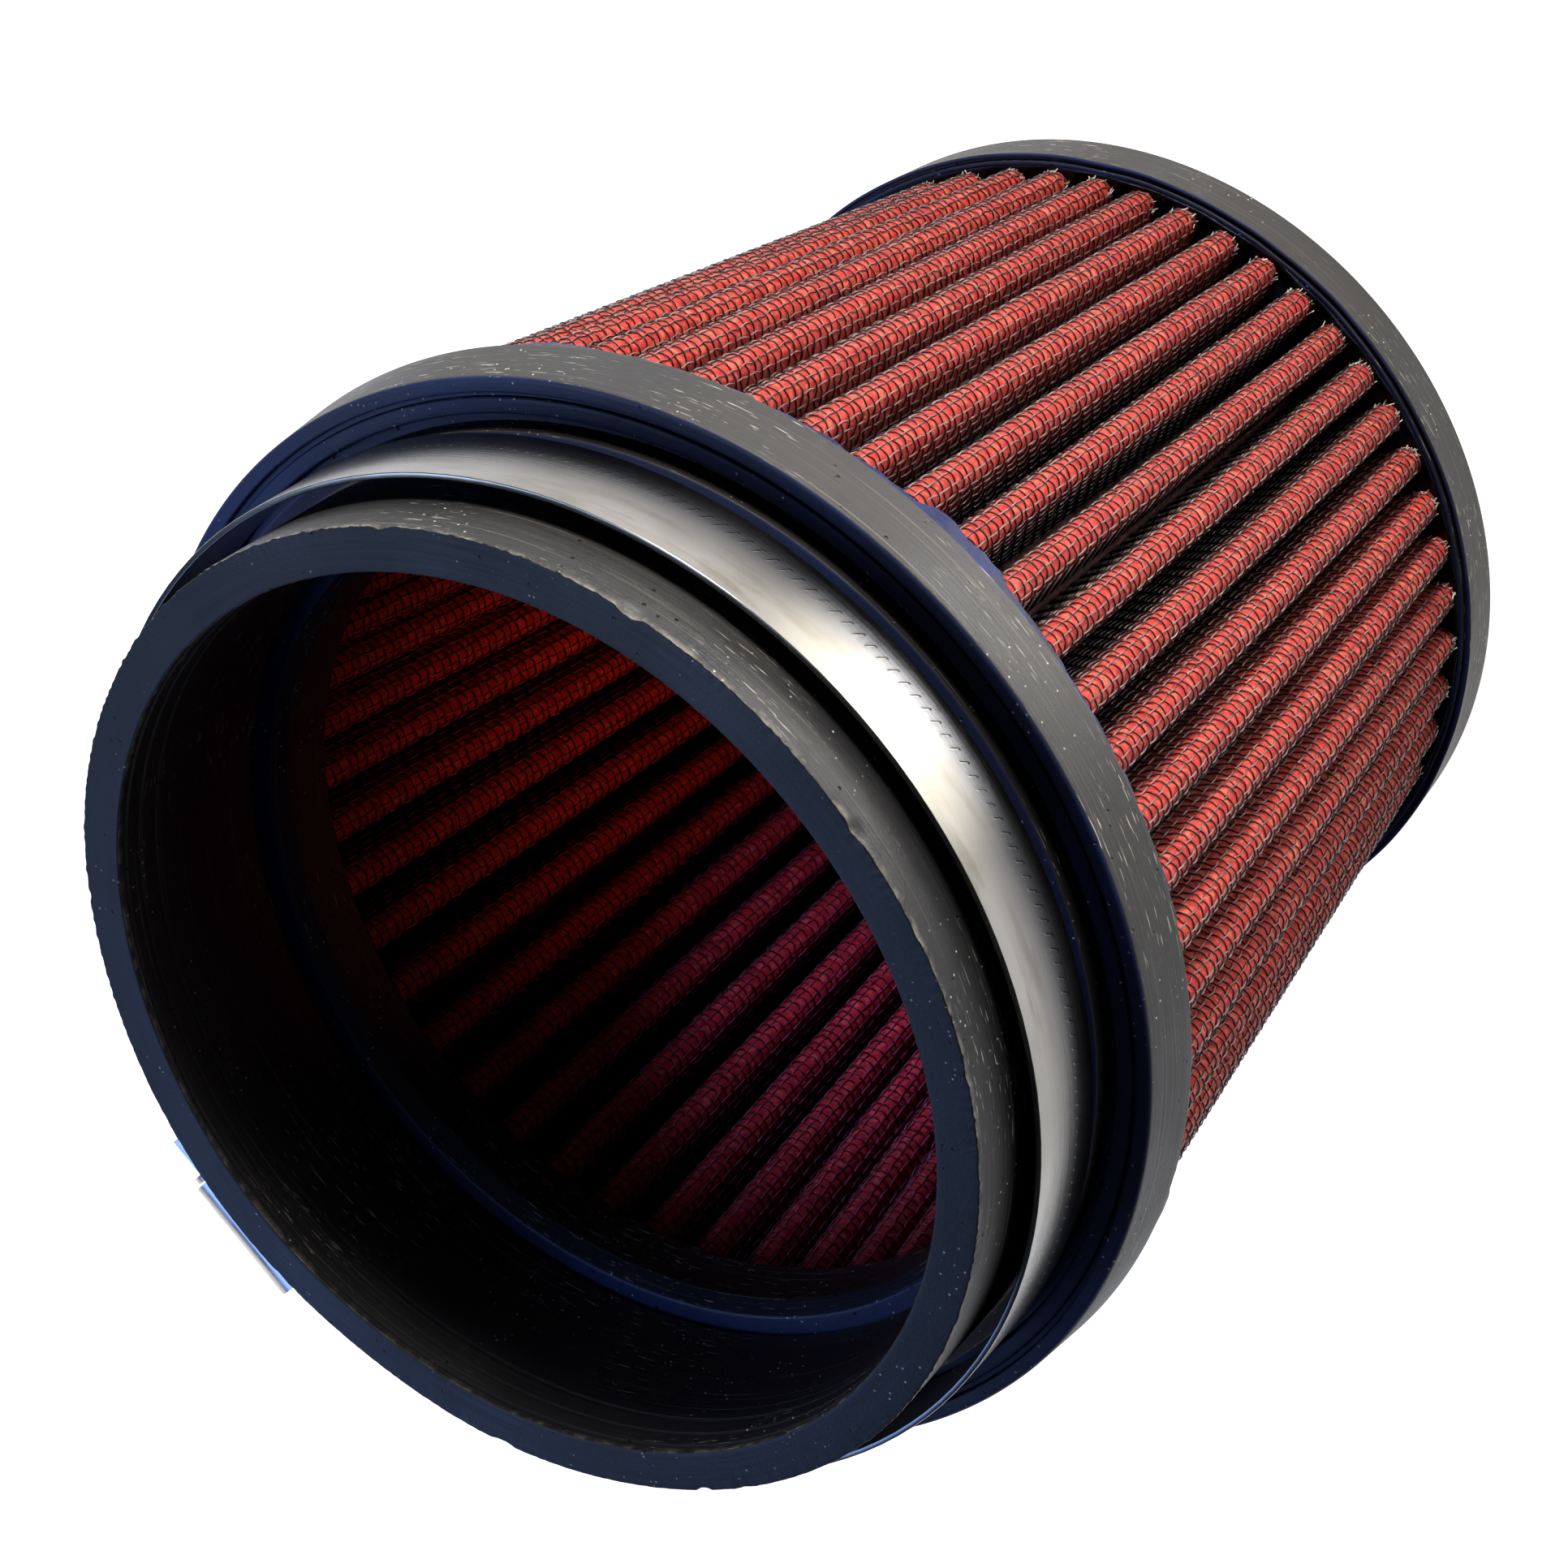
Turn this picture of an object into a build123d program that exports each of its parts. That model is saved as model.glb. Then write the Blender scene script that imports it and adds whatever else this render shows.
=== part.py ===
from build123d import *
import os
from math import acos, atan2, cos, degrees, hypot, pi, radians, sin

# A clamp-on pleated air filter. Millimetres. +Z points out of the neck, and the origin is the
# centre of the neck's rim plane. Depths below are measured down from that plane, so z = -depth.
# The filter stands on its end cap. -Y is the side away from the clamp's screw.

# neck and flange, one rubber moulding
BORE_R = 51.2
NECK_R = 56.0
BORE_DEPTH = 24.0
UNDERCUT_R = 52.0
UNDERCUT = 0.8
STOP_LIP_R = 49.4
COLLAR_R = 48.3
COLLAR_OUTER_R = 49.0
COLLAR_DEPTH = 32.8
BORE_GROOVES = (1.4, 3.7, 6.4)
BORE_GROOVE_CUT = 0.25
BEAD_R = 58.0
BEAD_TOP = 20.6
BEAD_BOTTOM = 22.8
CHANNEL_DEPTH = 23.5
INNER_RING_R = (59.5, 61.3)
INNER_RING_DEPTH = 21.7
OUTER_RING_R = (61.9, 63.6)
OUTER_RING_DEPTH = 21.3
RING_GROOVE_DEPTH = 22.3
FLANGE_R = 64.4
FLANGE_BOTTOM = 29.0
SEALANT_POCKET_R = 62.9
SEALANT_POCKET_TOP = 26.0

# end cap
CAP_TOP = 127.3
CAP_BOTTOM = 136.0
CAP_RIM_R = 54.2
CAP_FOOT_R = 53.6
CAP_POCKET_R = 52.75
CAP_PLUG_R = 38.6
CAP_SEALANT_BOTTOM = 132.0
CAP_EDGE_ROUND = 0.8

# pleated pack, from the flange's underside down into the cap's pocket
PLEATS = 50
PACK_TOP = FLANGE_BOTTOM
PACK_BOTTOM = 129.5
PACK_OUTER_R = (62.6, 52.2)
PACK_INNER_R = (49.6, 39.2)
FOLD_R = 1.1
SCREEN_T = 0.25
PLY_T = 0.15
PLY_GAP = 0.1
GAUZE_PLIES = 4
STACK_T = 2 * SCREEN_T + GAUZE_PLIES * PLY_T + (GAUZE_PLIES + 1) * PLY_GAP
# the pleats stand closer together on one side, more so at the flange than at the cap
CLOSE_SIDE = radians(-80.5)
CREST_OFFSET = radians(-2.1)
CROWDING = (0.156, 0.09)

# crimped strip that closes the pack where its two ends meet
SEAM_PLEAT = 24
SEAM_T = 0.4
SEAM_GAP = 0.15
SEAM_LEG = 4.0
SEAM_TOP = 29.6
SEAM_BOTTOM = 126.6

# worm-drive clamp, standing loose around the neck
BAND_TOP = 7.3
BAND_WIDTH = 11.0
BAND_MID = BAND_TOP + BAND_WIDTH / 2
BAND_R = 58.2
BAND_T = 0.65
TAIL_LIFT = 0.8
BAND_START = -12.0
LIFT_FROM = 300.0
LIFT_TO = 345.0
TAIL_END = 400.0
SLOT_PITCH = 2.0
SLOT_WIDTH = 0.9
SLOT_LENGTH = 7.0
SLOT_LEAN = 9.0
SLOTS_FROM = 349.0
HOUSING_ANGLE = 89.5
HOUSING_HALF_LENGTH = 8.0
HOUSING_HALF_WIDTH = 6.7
CHANNEL_HALF_WIDTH = 5.9
WALL = 0.8
SADDLE_R = 57.1
SADDLE_T = 0.8
DECK_X = 61.2
SCREW_X = 65.0
THREAD_R = 4.8
ROOT_R = 3.8
THREAD_HALF_LENGTH = 6.9
TUNNEL_R = 5.1
SCREW_NECK_R = 2.2
NECK_HOLE_R = 2.5
HEAD_START = 8.3
COLLAR_T = 0.8
HEAD_COLLAR_R = 5.4
HEX_FLATS = 8.0
HEX_LENGTH = 5.0
DRIVE_SLOT = (1.2, 1.6)


def down(radius, depth):
    """A point of a revolved outline, at a radius and a depth below the rim plane."""
    return (radius, 0, -depth)


def turned(points):
    """A solid of revolution about Z from an outline of radius and depth points."""
    outline = Polyline(*[down(*point) for point in points], close=True)
    return revolve(make_face(outline), Axis.Z)


def neck_flange():
    chamfer_size = 0.4
    outline = [(BORE_R, 0), (NECK_R, 0), (NECK_R, BEAD_TOP - 0.8)]
    outline += [(BEAD_R, BEAD_TOP), (BEAD_R, BEAD_BOTTOM), (BEAD_R + 0.2, CHANNEL_DEPTH)]
    outline += [(INNER_RING_R[0], CHANNEL_DEPTH), (INNER_RING_R[0], INNER_RING_DEPTH)]
    outline += [(INNER_RING_R[1], INNER_RING_DEPTH), (INNER_RING_R[1], RING_GROOVE_DEPTH)]
    outline += [(OUTER_RING_R[0], RING_GROOVE_DEPTH), (OUTER_RING_R[0], OUTER_RING_DEPTH)]
    outline += [(OUTER_RING_R[1] - chamfer_size, OUTER_RING_DEPTH)]
    outline += [(OUTER_RING_R[1], OUTER_RING_DEPTH + chamfer_size), (FLANGE_R, FLANGE_BOTTOM)]
    outline += [(SEALANT_POCKET_R, FLANGE_BOTTOM), (SEALANT_POCKET_R, SEALANT_POCKET_TOP)]
    outline += [(COLLAR_OUTER_R, SEALANT_POCKET_TOP), (COLLAR_OUTER_R, COLLAR_DEPTH)]
    outline += [(COLLAR_R, COLLAR_DEPTH), (COLLAR_R, SEALANT_POCKET_TOP), (STOP_LIP_R, BORE_DEPTH)]
    outline += [(UNDERCUT_R, BORE_DEPTH), (UNDERCUT_R, BORE_DEPTH - UNDERCUT)]
    outline += [(BORE_R, BORE_DEPTH - UNDERCUT)]
    for depth in reversed(BORE_GROOVES):
        outline += [(BORE_R, depth + BORE_GROOVE_CUT), (BORE_R + BORE_GROOVE_CUT, depth)]
        outline += [(BORE_R, depth - BORE_GROOVE_CUT)]
    return turned(outline)


def end_cap():
    outline = [(0, PACK_BOTTOM), (CAP_PLUG_R, PACK_BOTTOM), (CAP_PLUG_R, CAP_SEALANT_BOTTOM)]
    outline += [(CAP_POCKET_R, CAP_SEALANT_BOTTOM), (CAP_POCKET_R, CAP_TOP), (CAP_RIM_R, CAP_TOP)]
    outline += [(CAP_FOOT_R, CAP_BOTTOM - CAP_EDGE_ROUND), (CAP_FOOT_R - CAP_EDGE_ROUND, CAP_BOTTOM)]
    outline += [(0, CAP_BOTTOM)]
    return turned(outline)


def ring(inner, outer, top, bottom):
    return turned([(inner, top), (outer, top), (outer, bottom), (inner, bottom)])


def along_pack(ends, depth):
    """The value at a depth of something that changes evenly from the pack's top to its bottom."""
    share = (depth - PACK_TOP) / (PACK_BOTTOM - PACK_TOP)
    return ends[0] + (ends[1] - ends[0]) * share


def fold_angle(number, depth):
    """The angle of a fold: crests have whole numbers, and valleys are half way between."""
    even = CLOSE_SIDE + CREST_OFFSET + 2 * pi * number / PLEATS
    return even - along_pack(CROWDING, depth) * sin(even - CLOSE_SIDE)


def fold_centre(number, depth):
    """The centre of a fold's round: a crest for a whole number, or else a valley."""
    reach = FOLD_R + STACK_T / 2
    if number % 1:
        radius = along_pack(PACK_INNER_R, depth) + reach
    else:
        radius = along_pack(PACK_OUTER_R, depth) - reach
    angle = fold_angle(number, depth)
    return radius * cos(angle), radius * sin(angle)


def flank_normal(number, depth):
    """The direction square to the flank from one fold to the next, pointing away from a crest."""
    start = fold_centre(number, depth)
    end = fold_centre(number + 0.5, depth)
    step = (end[0] - start[0], end[1] - start[1])
    turn = acos(2 * FOLD_R / hypot(*step))
    if number % 1:
        return atan2(step[1], step[0]) + turn
    return atan2(step[1], step[0]) - turn


def at(centre, radius, angle, depth):
    return Vector(centre[0] + radius * cos(angle), centre[1] + radius * sin(angle), -depth)


def fold_points(number, offset, depth):
    """Start, middle and end of a fold's arc, at an offset outwards from the pack's middle surface."""
    centre = fold_centre(number, depth)
    before = flank_normal(number - 0.5, depth)
    after = flank_normal(number, depth)
    if number % 1:
        radius = FOLD_R - offset
        start, end = before + pi, after
        sweep = -((start - end) % (2 * pi))
    else:
        radius = FOLD_R + offset
        start, end = before + pi, after
        sweep = (end - start) % (2 * pi)
    return [at(centre, radius, start + part * sweep, depth) for part in (0, 0.5, 1)]


def pack_edges(offset, depth):
    """The closed line of the pleats at one depth: a fold's arc and a straight flank, in turn."""
    folds = [fold_points(half / 2, offset, depth) for half in range(2 * PLEATS)]
    edges = []
    for this, following in zip(folds, folds[1:] + folds[:1]):
        edges.append(Edge.make_three_point_arc(*this))
        edges.append(Edge.make_line(this[2], following[0]))
    return edges


def pleated_sheet(inner_offset, outer_offset):
    """One ply of the pack, between two offsets from its middle surface."""
    faces = []
    rims = {}
    for offset in (inner_offset, outer_offset):
        top = pack_edges(offset, PACK_TOP)
        bottom = pack_edges(offset, PACK_BOTTOM)
        faces += [Face.make_surface_from_curves(a, b) for a, b in zip(top, bottom)]
        rims[offset] = (Wire(top), Wire(bottom))
    for end in (0, 1):
        faces.append(Face(rims[outer_offset][end], [rims[inner_offset][end]]))
    return Solid(Shell(faces))


def strip_outline(depth):
    """The seam strip's section at one depth: a thin U over a crest, its legs along the flanks."""
    inner = STACK_T / 2 + SEAM_GAP
    inside = fold_points(SEAM_PLEAT, inner, depth)
    outside = fold_points(SEAM_PLEAT, inner + SEAM_T, depth)
    legs = []
    for side in (-0.5, 0):
        normal = flank_normal(SEAM_PLEAT + side, depth)
        legs.append(Vector(-sin(normal), cos(normal), 0) * SEAM_LEG)
    before, after = legs
    corners = [outside[2], outside[2] + after, inside[2] + after, inside[2]]
    corners_back = [inside[0], inside[0] + before, outside[0] + before, outside[0]]
    edges = [Edge.make_three_point_arc(*outside), Edge.make_three_point_arc(*inside)]
    for run in (corners, corners_back):
        edges += [Edge.make_line(*pair) for pair in zip(run, run[1:])]
    return Wire(edges)


def seam_strip():
    return Solid.make_loft([strip_outline(SEAM_TOP), strip_outline(SEAM_BOTTOM)], ruled=True)


def polar(radius, angle):
    return Vector(radius * cos(radians(angle)), radius * sin(radians(angle)), -BAND_TOP - BAND_WIDTH)


def polar_arc(start_r, start, end_r, end):
    middle = polar((start_r + end_r) / 2, (start + end) / 2)
    return Edge.make_three_point_arc(polar(start_r, start), middle, polar(end_r, end))


def band_side(radius):
    """One face of the band, from its fixed end round to the tip of its tail."""
    lifted = radius + TAIL_LIFT
    half_way = (BAND_START + LIFT_FROM) / 2
    edges = [polar_arc(radius, BAND_START, radius, half_way), polar_arc(radius, half_way, radius, LIFT_FROM)]
    edges += [polar_arc(radius, LIFT_FROM, lifted, LIFT_TO), polar_arc(lifted, LIFT_TO, lifted, TAIL_END)]
    return edges


def clamp_band():
    inner = BAND_R
    outer = BAND_R + BAND_T
    edges = band_side(inner) + band_side(outer)
    edges += [Edge.make_line(polar(inner, BAND_START), polar(outer, BAND_START))]
    edges += [Edge.make_line(polar(inner + TAIL_LIFT, TAIL_END), polar(outer + TAIL_LIFT, TAIL_END))]
    strip = extrude(Face(Wire(edges)), BAND_WIDTH, dir=(0, 0, 1))
    middle_r = outer + TAIL_LIFT
    step = degrees(SLOT_PITCH / middle_r)
    count = int((TAIL_END - SLOTS_FROM) / step)
    slots = []
    for number in range(count):
        slot = Pos(middle_r, 0, -BAND_MID) * Rot(SLOT_LEAN, 0, 0) * Box(2 * BAND_T, SLOT_WIDTH, SLOT_LENGTH)
        slots.append(Rot(0, 0, SLOTS_FROM + number * step) * slot)
    return strip - slots


def block(low_x, high_x, half_y, half_z):
    """A box about the housing's middle, between two distances from the clamp's axis."""
    return Pos((low_x + high_x) / 2, 0, -BAND_MID) * Box(high_x - low_x, 2 * half_y, 2 * half_z)


def barrel(radius, start, end):
    """A cylinder on the screw's axis, between two places along it."""
    return Pos(SCREW_X, (start + end) / 2, -BAND_MID) * Rot(90, 0, 0) * Cylinder(radius, end - start)


def neck_space(radius):
    return Pos(0, 0, -BAND_MID) * Cylinder(radius, 4 * BAND_WIDTH)


def clamp_housing():
    half = HOUSING_HALF_LENGTH
    shell = block(SADDLE_R - 2, DECK_X, half, HOUSING_HALF_WIDTH)
    shell += block(DECK_X - WALL, SCREW_X, half, TUNNEL_R + WALL)
    shell += barrel(TUNNEL_R + WALL, -half, half)
    shell -= block(SADDLE_R - 3, DECK_X - WALL, half + 1, CHANNEL_HALF_WIDTH)
    shell -= block(DECK_X - 2 * WALL, SCREW_X, half - WALL, TUNNEL_R)
    shell -= barrel(TUNNEL_R, WALL - half, half - WALL)
    shell -= barrel(NECK_HOLE_R, half - 2 * WALL, half + 1)
    shell -= neck_space(SADDLE_R)
    return shell


def clamp_saddle():
    plate = block(SADDLE_R - 2, DECK_X, HOUSING_HALF_LENGTH + 1.5, CHANNEL_HALF_WIDTH)
    return (plate & neck_space(SADDLE_R + SADDLE_T)) - neck_space(SADDLE_R)


def clamp_screw():
    outline = [(0, -THREAD_HALF_LENGTH), (ROOT_R, -THREAD_HALF_LENGTH)]
    ridges = int(2 * THREAD_HALF_LENGTH / SLOT_PITCH)
    first = -SLOT_PITCH * (ridges - 1) / 2
    for number in range(ridges):
        middle = first + number * SLOT_PITCH
        outline += [(ROOT_R, middle - 0.7), (THREAD_R, middle - 0.3)]
        outline += [(THREAD_R, middle + 0.3), (ROOT_R, middle + 0.7)]
    outline += [(ROOT_R, THREAD_HALF_LENGTH), (SCREW_NECK_R, THREAD_HALF_LENGTH)]
    outline += [(SCREW_NECK_R, HEAD_START), (HEAD_COLLAR_R, HEAD_START)]
    outline += [(HEAD_COLLAR_R, HEAD_START + COLLAR_T), (0, HEAD_START + COLLAR_T)]
    shank = revolve(make_face(Polyline(*outline, close=True)), Axis.Y)
    head_end = HEAD_START + COLLAR_T + HEX_LENGTH
    corner_r = HEX_FLATS / 2 / cos(radians(30))
    hexagon = Plane.XZ * RegularPolygon(corner_r, 6)
    head = Pos(0, HEAD_START + COLLAR_T, 0) * extrude(hexagon, HEX_LENGTH, dir=(0, 1, 0))
    width, deep = DRIVE_SLOT
    groove = Pos(0, head_end - deep / 2, 0) * Box(width, deep, 3 * corner_r)
    screw = shank + head - groove
    return Pos(SCREW_X, 0, -BAND_MID) * screw


def placed(piece):
    """A clamp piece, turned over about the band's middle and round to where the clamp's screw is."""
    turned_over = Pos(0, 0, -BAND_MID) * Rot(180, 0, 0) * Pos(0, 0, BAND_MID) * piece
    return Rot(0, 0, HOUSING_ANGLE) * turned_over


def sheets():
    """Every ply of the pack, from the outside in."""
    names = ["outer_screen"] + [f"gauze_ply_{number + 1}" for number in range(GAUZE_PLIES)]
    names += ["inner_screen"]
    made = {}
    outer = STACK_T / 2
    for name in names:
        thickness = SCREEN_T if name.endswith("screen") else PLY_T
        made[name] = pleated_sheet(outer - thickness, outer)
        outer -= thickness + PLY_GAP
    return made


parts = {
    "neck_flange": neck_flange(),
    "flange_sealant": ring(COLLAR_OUTER_R, SEALANT_POCKET_R, SEALANT_POCKET_TOP, FLANGE_BOTTOM),
    "cap_sealant": ring(CAP_PLUG_R, CAP_POCKET_R, PACK_BOTTOM, CAP_SEALANT_BOTTOM),
    "end_cap": end_cap(),
    "seam_strip": seam_strip(),
    "clamp_band": placed(clamp_band()),
    "clamp_housing": placed(clamp_housing()),
    "clamp_saddle": placed(clamp_saddle()),
    "clamp_screw": placed(clamp_screw()),
}
parts.update(sheets())

os.makedirs("parts", exist_ok=True)
for name, shape in parts.items():
    export_step(shape, f"parts/{name}.step")
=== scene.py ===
"""The looks of a clamp-on pleated air filter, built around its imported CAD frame. Metres."""

import math

import bmesh
import bpy
import numpy as np
from mathutils import Matrix, Vector


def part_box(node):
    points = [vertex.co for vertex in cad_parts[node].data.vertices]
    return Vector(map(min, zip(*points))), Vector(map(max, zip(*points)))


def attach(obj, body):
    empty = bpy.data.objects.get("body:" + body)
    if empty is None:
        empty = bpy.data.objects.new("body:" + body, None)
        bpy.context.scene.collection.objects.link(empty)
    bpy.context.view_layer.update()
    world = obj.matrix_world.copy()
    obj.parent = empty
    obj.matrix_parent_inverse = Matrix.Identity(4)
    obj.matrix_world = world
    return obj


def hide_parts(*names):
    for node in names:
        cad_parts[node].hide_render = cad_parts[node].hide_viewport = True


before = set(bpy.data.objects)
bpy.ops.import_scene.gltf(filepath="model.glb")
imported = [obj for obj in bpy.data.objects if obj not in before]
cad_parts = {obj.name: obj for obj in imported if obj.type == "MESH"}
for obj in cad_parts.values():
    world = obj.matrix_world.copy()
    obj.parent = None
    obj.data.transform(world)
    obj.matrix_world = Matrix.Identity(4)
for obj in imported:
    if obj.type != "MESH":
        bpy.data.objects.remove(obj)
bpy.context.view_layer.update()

MM = 0.001
TAU = 2 * math.pi

# ---------------------------------------------------------------- sizes, from the frame


def reach(node, low, high):
    """The least and the greatest distance from the Z axis of a CAD node's points between two heights."""
    points = np.empty(len(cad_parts[node].data.vertices) * 3, np.float32)
    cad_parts[node].data.vertices.foreach_get("co", points)
    points = points.reshape(-1, 3)
    points = points[(points[:, 2] >= low - 1e-5) & (points[:, 2] <= high + 1e-5)]
    radii = np.hypot(points[:, 0], points[:, 1])
    return float(radii.min()), float(radii.max())


PACK_LOW, PACK_HIGH = (corner.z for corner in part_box("outer_screen"))
PACK_OUTER = (reach("outer_screen", PACK_HIGH, PACK_HIGH)[1], reach("outer_screen", PACK_LOW, PACK_LOW)[1])
PACK_INNER = (reach("inner_screen", PACK_HIGH, PACK_HIGH)[0], reach("inner_screen", PACK_LOW, PACK_LOW)[0])
NECK_R = reach("neck_flange", 0, 0)[1]
CAP_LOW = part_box("end_cap")[0].z
CAP_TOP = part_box("end_cap")[1].z
CAP_POCKET_R = reach("end_cap", CAP_TOP, CAP_TOP)[0]
BAND_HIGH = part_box("clamp_band")[1].z

# the pleats, as the CAD model folds them
PLEATS = 50
FOLD_R = 1.1 * MM
STACK_T = 1.6 * MM
CLOSE_SIDE = math.radians(-80.5)
CREST_OFFSET = math.radians(-2.1)
CROWDING = (0.156, 0.09)

rng = np.random.default_rng(7)

# ---------------------------------------------------------------- mesh helpers


def mesh_object(name, points, quads, uv=None):
    """A smooth object from arrays of points and of four-cornered faces, with a UV for each point or none."""
    points = np.asarray(points, np.float32).reshape(-1, 3)
    quads = np.asarray(quads, np.int32).reshape(-1, 4)
    mesh = bpy.data.meshes.new(name)
    mesh.vertices.add(len(points))
    mesh.vertices.foreach_set("co", points.ravel())
    mesh.loops.add(quads.size)
    mesh.loops.foreach_set("vertex_index", quads.ravel())
    mesh.polygons.add(len(quads))
    mesh.polygons.foreach_set("loop_start", np.arange(0, quads.size, 4, dtype=np.int32))
    mesh.update(calc_edges=True)
    mesh.polygons.foreach_set("use_smooth", np.full(len(quads), True))
    if uv is not None:
        layer = mesh.uv_layers.new(name="Along")
        layer.data.foreach_set("uv", np.asarray(uv, np.float32)[quads.ravel()].ravel())
    mesh.validate()
    obj = bpy.data.objects.new(name, mesh)
    bpy.context.scene.collection.objects.link(obj)
    return obj


def grid_quads(rows, columns, wrap_rows=False, wrap_columns=False, flip=False):
    """The faces of a grid of points stored row by row, which may close on itself either way."""
    row = np.arange(rows if wrap_rows else rows - 1)
    column = np.arange(columns if wrap_columns else columns - 1)
    r, c = np.meshgrid(row, column, indexing="ij")
    r2, c2 = (r + 1) % rows, (c + 1) % columns
    quads = np.stack([r * columns + c, r * columns + c2, r2 * columns + c2, r2 * columns + c], -1)
    quads = quads.reshape(-1, 4)
    return quads[:, ::-1] if flip else quads


def wobble(angle, seed, low, high, fall=1.0):
    """A smooth random curve that closes round a circle, between about -1 and 1."""
    draw = np.random.default_rng(seed)
    counts = np.arange(low, high)
    sizes = draw.normal(size=len(counts)) / counts**fall
    phases = draw.uniform(0, TAU, len(counts))
    total = sum(s * np.cos(n * angle + p) for s, n, p in zip(sizes, counts, phases))
    return total / (2 * np.sqrt((sizes**2).sum() / 2))


def smooth_step(low, high, value):
    share = np.clip((value - low) / (high - low), 0, 1)
    return share * share * (3 - 2 * share)


def rounded(corners, step):
    """An outline through (radius, height, rounding) corners, rounded and resampled evenly."""
    points = []
    count = len(corners)
    for i, (r, z, rounding) in enumerate(corners):
        here = np.array([r, z])
        before = np.array(corners[i - 1][:2]) - here
        after = np.array(corners[(i + 1) % count][:2]) - here
        if rounding <= 0:
            points.append(here)
            continue
        before_length, after_length = np.linalg.norm(before), np.linalg.norm(after)
        before, after = before / before_length, after / after_length
        half = math.acos(np.clip(before @ after, -1, 1)) / 2
        trim = min(rounding / math.tan(half), 0.45 * before_length, 0.45 * after_length)
        for share in np.linspace(0, 1, 6):
            a, b = here + before * trim * (1 - share), here + after * trim * share
            points.append(a * (1 - share) + b * share)
    dense = []
    for here, following in zip(points, points[1:] + points[:1]):
        parts = max(1, int(np.ceil(np.linalg.norm(following - here) / step)))
        dense += [here + (following - here) * k / parts for k in range(parts)]
    return np.array(dense)


def lathe(name, corners, segments, step, shape=None):
    """A closed turned piece from an outline of corners in millimetres. shape may move its points."""
    outline = rounded(corners, step) * MM
    # an outline that starts and ends on the axis closes there
    on_axis = np.flatnonzero(outline[:, 0] == 0)
    if len(on_axis):
        outline = outline[: on_axis[1] + 1]
    angle = np.arange(segments) * TAU / segments
    radius, theta = np.meshgrid(outline[:, 0], angle, indexing="xy")
    height = np.broadcast_to(outline[:, 1], radius.shape).copy()
    if shape is not None:
        radius, height, theta = shape(radius.copy(), height, theta)
    points = np.stack([radius * np.cos(theta), radius * np.sin(theta), height], -1)
    along = np.r_[0, np.cumsum(np.hypot(*np.diff(outline, axis=0).T))]
    uv = np.stack([theta * NECK_R, np.broadcast_to(along, radius.shape)], -1)
    quads = grid_quads(segments, len(outline), wrap_rows=True, wrap_columns=not len(on_axis))
    obj = mesh_object(name, points, quads, uv.reshape(-1, 2))
    if len(on_axis):
        welded = bmesh.new()
        welded.from_mesh(obj.data)
        bmesh.ops.remove_doubles(welded, verts=welded.verts, dist=1e-7)
        welded.to_mesh(obj.data)
        welded.free()
    return obj


def tubes(name, centres, outward, radius):
    """Wires of one thickness. centres and outward are (wires, points, 3): outward is square to each wire."""
    wires, count, _ = centres.shape
    ahead = np.roll(centres, -1, 1) - np.roll(centres, 1, 1)
    ahead[:, 0] = centres[:, 1] - centres[:, 0]
    ahead[:, -1] = centres[:, -1] - centres[:, -2]
    ahead /= np.linalg.norm(ahead, axis=2, keepdims=True)
    side = np.cross(ahead, outward)
    side /= np.linalg.norm(side, axis=2, keepdims=True)
    up = np.cross(side, ahead)
    turn = np.arange(WIRE_SIDES) * TAU / WIRE_SIDES + TAU / 4
    ring = centres[:, :, None] + radius * (
        np.cos(turn)[:, None] * side[:, :, None] + np.sin(turn)[:, None] * up[:, :, None]
    )
    one = grid_quads(count, WIRE_SIDES, wrap_columns=True)
    quads = (one[None] + (np.arange(wires) * count * WIRE_SIDES)[:, None, None]).reshape(-1, 4)
    return mesh_object(name, ring, quads)


# ---------------------------------------------------------------- the pleated surface


def pack_share(z):
    return (PACK_HIGH - z) / (PACK_HIGH - PACK_LOW)


def fold_angle(number, z):
    even = CLOSE_SIDE + CREST_OFFSET + TAU * number / PLEATS
    crowding = CROWDING[0] + (CROWDING[1] - CROWDING[0]) * pack_share(z)
    return even - crowding * np.sin(even - CLOSE_SIDE)


def fold_centre(half, z):
    """Centres of the folds' rounds at heights z. Even numbers are crests, and odd ones are valleys."""
    crest = half % 2 == 0
    share = pack_share(z)
    outer = PACK_OUTER[0] + (PACK_OUTER[1] - PACK_OUTER[0]) * share - FOLD_R - STACK_T / 2
    inner = PACK_INNER[0] + (PACK_INNER[1] - PACK_INNER[0]) * share + FOLD_R + STACK_T / 2
    radius = np.where(crest, outer, inner)
    angle = fold_angle(half / 2, z)
    return np.stack([radius * np.cos(angle), radius * np.sin(angle)], -1)


def flank_normal(half, z):
    """The direction square to the flank that leaves a fold, pointing away from its crest's centre."""
    step = fold_centre(half + 1, z) - fold_centre(half, z)
    turn = np.arccos(2 * FOLD_R / np.linalg.norm(step, axis=-1))
    angle = np.arctan2(step[..., 1], step[..., 0])
    return np.where(half % 2 == 0, angle - turn, angle + turn)


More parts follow.
